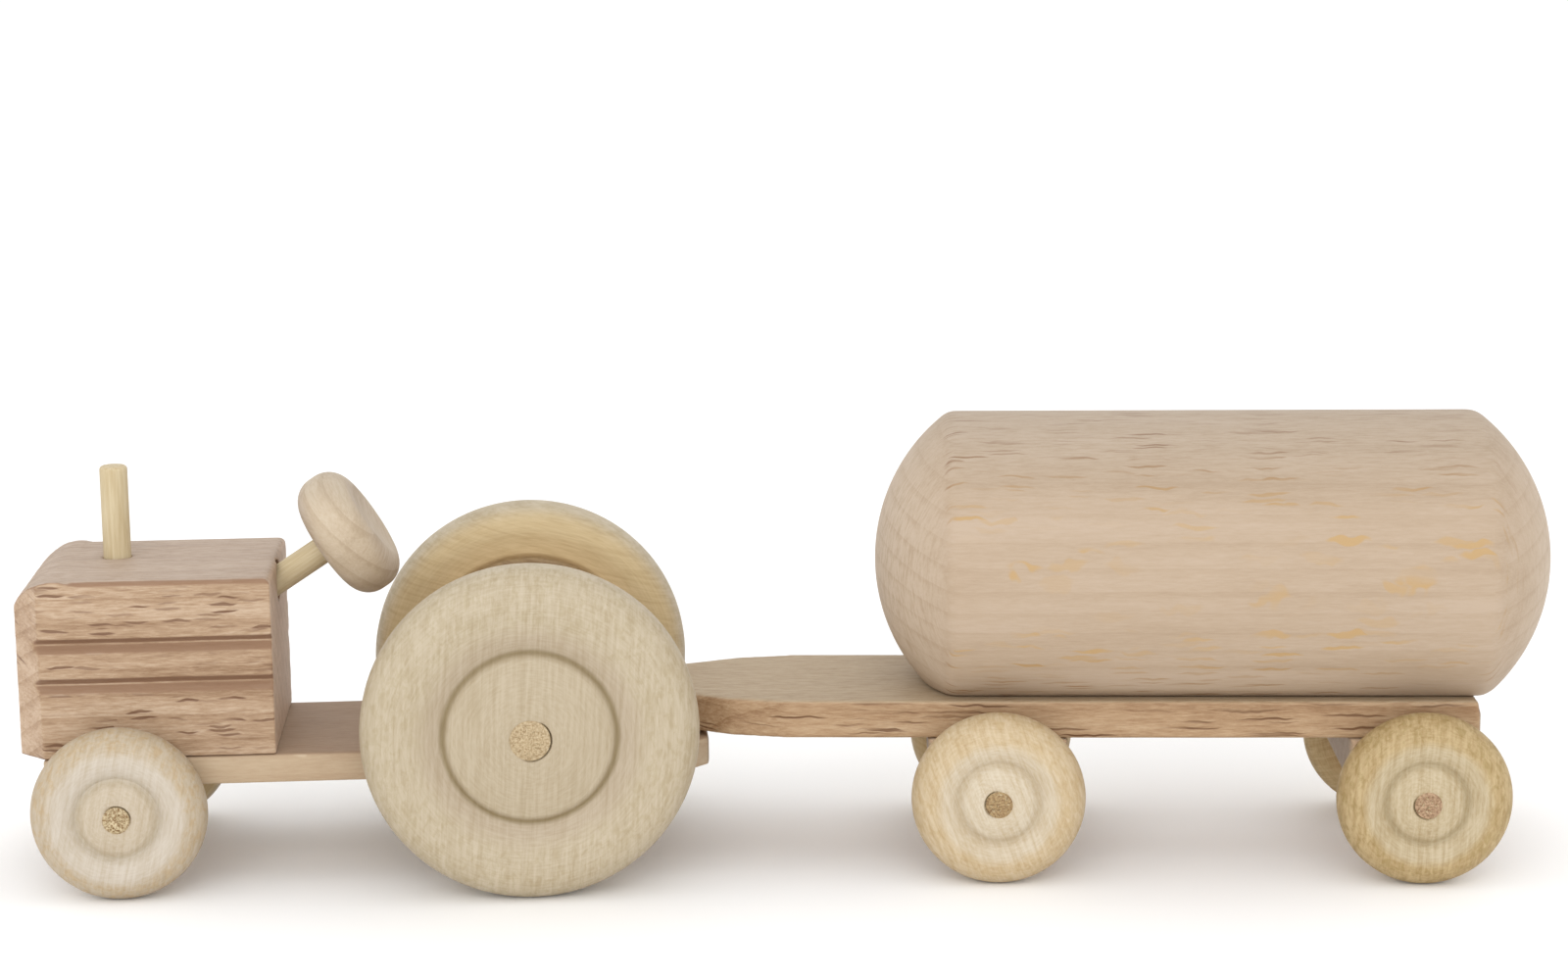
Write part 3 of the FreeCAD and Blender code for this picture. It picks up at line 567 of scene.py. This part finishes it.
# turned birch: a pale, dull face, a narrow olive ring of painted shade, and faint ochre patches near the
# tyre
big_birch = turned_birch("birch_turned_big_wheels", big_radius, big_hub, streak="e9e4da",
                         hub_colour="b3a58d", valley_shade_colour="7c6b45", dish_colour="b1a28c",
                         rim_colour="b9ac95", patch_colour="9f8e69", patch_share=0.35,
                         inner_colour="99836a", dish_end=0.66, valley_shade_share=0.8, ring_width=0.75)
for side, spin, gap_side in (("left", 4, -25), ("right", 75, 0)):
    marks = tool_marks(depth=0.07, seed=spin, bore=big_bore, gap_depth=0.8, gap_side=gap_side + spin)
    mesh = turned("rear_wheel_%s_turned" % side, big_outline, 224, marks)
    mount_wheel(mesh, "rear_wheel_%s_turned" % side, "rear_axle_spin", side, spin, big_birch,
                "rear_axle_set", "turned_big_wheel", "rear_wheel_" + side)

small_low, small_high = own_size("front_wheel_left", axle_place("front_axle_spin"))
small_radius = (small_high.z - small_low.z) / 2 / MM
small_thickness = (small_high.y - small_low.y) / MM
small_hub = 5.8
small_bore = 2.0
small_outline = wheel_outline(small_radius, small_thickness, rounding=4.0, bore=small_bore,
                              hub=small_hub, valley_drop=1.1, hub_drop=0.4, softness=1.2, boss=5.0,
                              hollow_edge=8.5, hollow_depth=0.6, step=0.25)
# turned birch of three billets: almost white, warm, and ochre with rough, dark patches on the tyre
# each has a ring of painted shade in the valley round its hub
small_finishes = {
    "front": turned_birch(
        "birch_turned_pale", small_radius, small_hub, streak="ebe5da", hub_colour="bcaf9b",
        valley_shade_colour="9b8d6e", dish_colour="c1b7a9", rim_colour="b8aa95", patch_colour="b2966a",
        patch_share=0.5, inner_colour="988363", dish_end=0.78, valley_shade_share=0.3, ring_width=1.3),
    "trailer_front": turned_birch(
        "birch_turned_warm", small_radius, small_hub, streak="e8dfcf", hub_colour="c9bda8",
        valley_shade_colour="a08d6c", dish_colour="c7baa4", rim_colour="c5b395", patch_colour="b19666",
        patch_share=0.4, inner_colour="9f8b6c", dish_end=0.7, valley_shade_share=0.35, ring_width=1.0),
    "trailer_rear": turned_birch(
        "birch_turned_ochre", small_radius, small_hub, streak="ded4c0", hub_colour="bdae91",
        valley_shade_colour="8b7a55", dish_colour="bcad90", rim_colour="b8a27a", patch_colour="98824f",
        patch_share=0.6, inner_colour="95805c", dish_end=0.72, valley_shade_share=0.45, ring_width=0.9),
}
# how far the left and the right wheel's grain are turned, and where the gap beside the dowel is
small_spins = {"front": (12, -40), "trailer_front": (-20, 66), "trailer_rear": (3, 110)}
small_gap_sides = {"front": 60, "trailer_front": 170, "trailer_rear": -140}
for axle, finish in small_finishes.items():
    for side, spin in zip(("left", "right"), small_spins[axle]):
        node = "%s_wheel_%s" % (axle, side)
        marks = tool_marks(depth=0.06, seed=spin, bore=small_bore, gap_depth=0.5,
                           gap_side=small_gap_sides[axle] + spin)
        mesh = turned(node + "_turned", small_outline, 144, marks)
        mount_wheel(mesh, node + "_turned", axle + "_axle_spin", side, spin, finish,
                    axle + "_axle_set", "turned_small_wheel", node)


# The axles: birch dowels glued through each pair of wheels. Their ends were snipped off and show
# torn, speckled end grain.

def dowel_wood(name, dark, light, end_dark, end_light):
    """A machine-made dowel, grain along its own Y. Its ends show open, speckled end grain.

    Its streaks are 0.5 mm wide and 9 mm long and its pores 0.3 mm wide, a few times the real size,
    because real ones don't show. Gives the material of its side and the one of its ends.
    """
    side = bpy.data.materials.new(name)
    end = bpy.data.materials.new(name + "_ends")
    for material, tones, size, low, high in (
            (side, (dark, light), (1 / 0.5, 1 / 9, 1 / 0.5), 0.35, 0.65),
            (end, (end_dark, end_light), (1 / 0.32, 1 / 0.5, 1 / 0.32), 0.38, 0.60)):
        material.use_nodes = True
        tree = material.node_tree
        shader = tree.nodes["Principled BSDF"]
        own = add_node(tree, "ShaderNodeAttribute", {}, "Vector", attribute_name="own_mm")
        wood = add_node(tree, "ShaderNodeMapping", {"Vector": own, "Scale": size})
        grain = add_node(tree, "ShaderNodeTexNoise", {
            "Vector": wood, "Scale": 1.0, "Detail": 4.0, "Roughness": 0.65})
        colour = add_node(tree, "ShaderNodeValToRGB", {"Fac": grain},
                          ramp=((low, tones[0]), (high, tones[1])))
        bump = add_node(tree, "ShaderNodeBump", {"Height": grain, "Strength": 0.6, "Distance": 0.05 * MM})
        tree.links.new(colour, shader.inputs["Base Color"])
        tree.links.new(bump, shader.inputs["Normal"])
        shader.inputs["Roughness"].default_value = 0.65
        shader.inputs["IOR"].default_value = 1.45
    return side, end


def dowel(name, radius, low, high, torn, seed):
    """A dowel about its own Y axis from low to high, in mm, its snipped ends torn up to torn mm deep."""
    chamfer = min(0.3, radius / 6)
    rings = 14
    outline = [(0.0, low)]
    for i in range(1, rings + 1):
        outline.append(((radius - chamfer) * i / rings, low))
    outline.append((radius, low + chamfer))
    outline += straight(outline[-1], (radius, high - chamfer), 24)
    for i in range(rings, 0, -1):
        outline.append(((radius - chamfer) * i / rings, high))
    outline.append((0.0, high))
    middle = (low + high) / 2
    half = (high - low) / 2
    pit_width = 0.45

    def mark(r, angle, height):
        if half - abs(height - middle) > 0.01 or not torn:
            return 0.0
        point = Vector((r * math.cos(angle) / pit_width, r * math.sin(angle) / pit_width, seed))
        pits = max(0.0, noise.noise(point) + 0.35 * noise.noise(point * 2.7))
        around = Vector((math.cos(angle), math.sin(angle), seed)) * 1.5
        rim = (r / radius) ** 6 * max(0.0, 0.6 + noise.noise(around))
        return torn * min(1.0, 1.4 * pits + rim)

    return turned(name, outline, 72, mark, closed=False)


def fit_dowel(mesh, name, place, finishes, body, slot, node):
    """Shows a dowel, with the end-grain finish on its two ends."""
    ends = [face.index for face in mesh.polygons if abs(face.normal.y) > 0.6]
    show(mesh, name, place, finishes[0], body, slot, node)
    mesh.materials.append(finishes[1])
    for index in ends:
        mesh.polygons[index].material_index = 1


# birch dowels: pale and straight-grained, with four kinds of snipped end, from straw to brown
axle_finishes = {
    "rear": dowel_wood("birch_dowel_rear", "b5a381", "c4b493", "957d5a", "c0ad8c"),
    "front": dowel_wood("birch_dowel_front", "b5a381", "c4b493", "745226", "c6b592"),
    "trailer_front": dowel_wood("birch_dowel_middle", "b5a381", "c4b493", "7d6140", "ab9168"),
    "trailer_rear": dowel_wood("birch_dowel_last", "b5a381", "c4b493", "84664b", "b39577"),
}
for number, (axle, finishes) in enumerate(axle_finishes.items()):
    node = axle + "_axle"
    place = axle_place(node + "_spin")
    low, high = own_size(node, place)
    radius = (high.z - low.z) / 2 / MM
    mesh = dowel(node + "_dowel", radius, low.y / MM, high.y / MM, torn=0.35, seed=number + 3.3)
    fit_dowel(mesh, node + "_dowel", place, finishes, node + "_set", "dowel", node)


# The exhaust pipe: a short length of pale dowel with its top edge rounded, glued in a blind hole in
# the bonnet.

# birch dowel, sanded: the palest wood of the toy, with soft streaks
pale_dowel = dowel_wood("birch_dowel_pale", "b9a681", "cabb9a", "b29d78", "cabb9c")
low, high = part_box("exhaust_pipe")
pipe_radius = (high.x - low.x) / 2 / MM
pipe_length = (high.z - low.z) / MM
pipe_rounding = 0.6
pipe_shoulder = pipe_length - pipe_rounding
pipe_outline = [(0.0, 0.0), (pipe_radius, 0.0)]
pipe_outline += straight(pipe_outline[-1], (pipe_radius, pipe_shoulder), 12)
pipe_outline += corner((pipe_radius - pipe_rounding, pipe_shoulder), pipe_rounding, 0, 90, 6)[1:]
pipe_outline += straight(pipe_outline[-1], (0.0, pipe_length), 5)
pipe_foot = Matrix.Translation(Vector(((low.x + high.x) / 2, (low.y + high.y) / 2, low.z)))
pipe_place = pipe_foot @ Matrix.Rotation(math.radians(90), 4, "X")
pipe_mesh = turned("exhaust_pipe_dowel", pipe_outline, 64, closed=False)
fit_dowel(pipe_mesh, "exhaust_pipe_dowel", pipe_place, pale_dowel, "tractor", "dowel", "exhaust_pipe")


# The steering: a slanted birch dowel that turns in the back of the bonnet, with a thick turned
# steering wheel glued on its end. The wheel is rounded all over and slightly dished behind.

steering_place = axle_place("steering_turn")
low, high = own_size("steering_column", steering_place)
column_radius = (high.x - low.x) / 2 / MM
column_mesh = dowel("steering_column_dowel", column_radius, low.y / MM, high.y / MM, torn=0.0, seed=1.0)
fit_dowel(column_mesh, "steering_column_dowel", steering_place, pale_dowel,
          "steering", "dowel", "steering_column")

low, high = own_size("steering_wheel", steering_place)
knob_radius = (high.x - low.x) / 2 / MM
knob_back, knob_front = low.y / MM, high.y / MM
knob_rounding = 3.7
knob_dome = 0.4
knob_dish = 0.7
knob_rim = knob_radius - knob_rounding
knob_outline = [(column_radius, knob_back)]
knob_outline += straight(knob_outline[-1], (knob_rim, knob_back + knob_dome), 8)
knob_outline += corner((knob_rim, knob_back + knob_dome + knob_rounding), knob_rounding, -90, 90, 12)[1:]
knob_outline += corner((knob_rim, knob_front - knob_rounding), knob_rounding, 0, 90, 12)
dish_steps = 14
for i in range(1, dish_steps + 1):
    r = knob_rim * (1 - i / dish_steps)
    knob_outline.append((r, knob_front - knob_dish * (1 - (r / knob_rim) ** 2)))
knob_outline = [(0.0, knob_back)] + knob_outline
# turned maple: smooth and pale, with yearly rings that show and hardly any rays
knob_maple = beech("maple_turned_steering_wheel", ("aa977e", "b8a68e", "c2b39d"), "a4886c",
                   ray_size=(2.0, 0.25, 3.0), ray_share=0.15, tilt=10, ring_depth=0.12,
                   end_colour="b7a897")
knob_mesh = turned("steering_wheel_turned", knob_outline, 160, closed=False)
show(knob_mesh, "steering_wheel_turned", steering_place, knob_maple,
     "steering", "turned_knob", "steering_wheel")


# The hitch: an upright birch dowel glued in the chassis, its tip sanded a little thinner. The
# trailer's tongue drops over it and turns on it.

hitch_place = axle_place("hitch_turn")
# birch dowel, handled: a shade darker than the pipe
pin_finish = dowel_wood("birch_dowel_hitch", "b29d78", "c4b28f", "8c7450", "b9a684")
low, high = own_size("hitch_pin", hitch_place)
pin_radius = (high.x - low.x) / 2 / MM
pin_tip_radius = 1.7
pin_chamfer = 0.3
pin_taper = 0.6
above_deck = 0.3
pin_step = (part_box("trailer_deck")[1].z - hitch_place.translation.z) / MM + above_deck
pin_foot, pin_top = low.y / MM, high.y / MM
pin_outline = [(0.0, pin_foot), (pin_radius - pin_chamfer, pin_foot), (pin_radius, pin_foot + pin_chamfer)]
pin_outline += straight(pin_outline[-1], (pin_radius, pin_step), 16)
pin_outline.append((pin_tip_radius, pin_step + pin_taper))
pin_outline += straight(pin_outline[-1], (pin_tip_radius, pin_top - pin_chamfer), 6)
pin_outline.append((pin_tip_radius - pin_chamfer, pin_top))
pin_outline.append((0.0, pin_top))
pin_mesh = turned("hitch_pin_dowel", pin_outline, 64, closed=False)
fit_dowel(pin_mesh, "hitch_pin_dowel", hitch_place, pin_finish, "tractor", "dowel", "hitch_pin")


# The trailer's deck: a beech plank with a tapered, rounded tongue at its front. Long brown pores run
# along its edges, and its top is planed smooth.

# planed beech: dark dashes along the brown edges, and a greyer top, a painted sheen from above
deck_beech = beech("beech_planed_deck", ("8e6d4d", "a88a69", "b99f80"), "654428",
                   ray_size=(10.0, 0.36, 10.0), ray_share=1.0, tilt=15, fibre=0.6,
                   painted_top_light="ad9d84", painted_top_light_share=0.75)
deck_mesh = sanded("trailer_deck", trailer_place, voxel=0.4, wear=3, relief=0.06)
show(deck_mesh, "trailer_deck_plank", trailer_place, deck_beech, "trailer", "beech_deck", "trailer_deck")


# The tank: turned from one beech billet, with domed ends, then planed flat below and glued on the
# deck. Its top shows dashes, its sides pale flakes, and its ends faint yearly rings.

tank_low, tank_high = own_size("tank", trailer_place)
tank_radius = (tank_high.y - tank_low.y) / 2 / MM
tank_axis = Vector(((tank_low.x + tank_high.x) / 2, (tank_low.y + tank_high.y) / 2,
                    tank_high.z - tank_radius * MM))
tank_place = trailer_place @ Matrix.Translation(tank_axis)
# turned beech: the palest and smoothest of the beech, with pale orange flakes on its sides
# its top is greyer: a painted sheen from above
tank_beech = beech("beech_turned_tank", ("a58f77", "ae9982", "b4a08b"), "7d5836",
                   ray_size=(6.5, 0.34, 5.0), ray_share=1.0, tilt=90, ring_depth=0.07, ring_gap=3.2,
                   end_colour="c7b6a2", painted_top_light="aa9e90", flake_colour="b39468")
tank_mesh = sanded("tank", tank_place, voxel=0.5, wear=4, relief=0.02)
show(tank_mesh, "tank_turned", tank_place, tank_beech, "trailer", "beech_tank", "tank")


# The table, the light and the view: matt white paper to the horizon under a white, even sky, and
# one wide soft lamp in front and above.

floor_size = 12.0
floor_mesh = bpy.data.meshes.new("floor")
far = floor_size / 2
floor_corners = [(-far, -far, 0), (far, -far, 0), (far, far, 0), (-far, far, 0)]
floor_mesh.from_pydata(floor_corners, [], [(0, 1, 2, 3)])
floor = bpy.data.objects.new("floor", floor_mesh)
bpy.context.scene.collection.objects.link(floor)
# paper: plain, nearly white, and without gloss
paper = bpy.data.materials.new("matt_white_paper")
paper.use_nodes = True
paper_shader = paper.node_tree.nodes["Principled BSDF"]
paper_shader.inputs["Base Color"].default_value = linear("fdfdfd")
paper_shader.inputs["Roughness"].default_value = 0.9
floor_mesh.materials.append(paper)

world = bpy.data.worlds.new("white_tent")
world.use_nodes = True
sky = world.node_tree.nodes["Background"]
sky.inputs["Color"].default_value = linear("ffffff")
sky.inputs["Strength"].default_value = 1.1
bpy.context.scene.world = world
bpy.context.scene.view_settings.view_transform = "Standard"

lamp_data = bpy.data.lights.new("soft_lamp", "AREA")
lamp_data.shape = "RECTANGLE"
lamp_data.size = 1.2
lamp_data.size_y = 0.9
lamp_data.energy = 6.5
lamp = bpy.data.objects.new("soft_lamp", lamp_data)
lamp.location = (-0.2, -1.2, 0.65)
lamp_target = Vector((0, 0, 0.03))
lamp.rotation_euler = (lamp_target - lamp.location).to_track_quat("-Z", "Y").to_euler()
bpy.context.scene.collection.objects.link(lamp)

# a long lens from the left side of the toy, a little above it, and rolled by half a degree
camera_data = bpy.data.cameras.new("camera")
camera_data.lens = 74.08
camera_data.sensor_width = 36.0
camera_data.shift_x = 0.0024
camera_data.shift_y = 0.0098
camera_data.clip_start = 0.01
camera = bpy.data.objects.new("camera", camera_data)
camera_look = Vector((0.0698, 0.9789, -0.1920))
camera_lean = Quaternion((0, 0, 1), math.radians(-0.523))
camera.location = (-0.03525, -0.48340, 0.14871)
camera.rotation_euler = (camera_look.to_track_quat("-Z", "Y") @ camera_lean).to_euler()
bpy.context.scene.collection.objects.link(camera)
bpy.context.scene.camera = camera
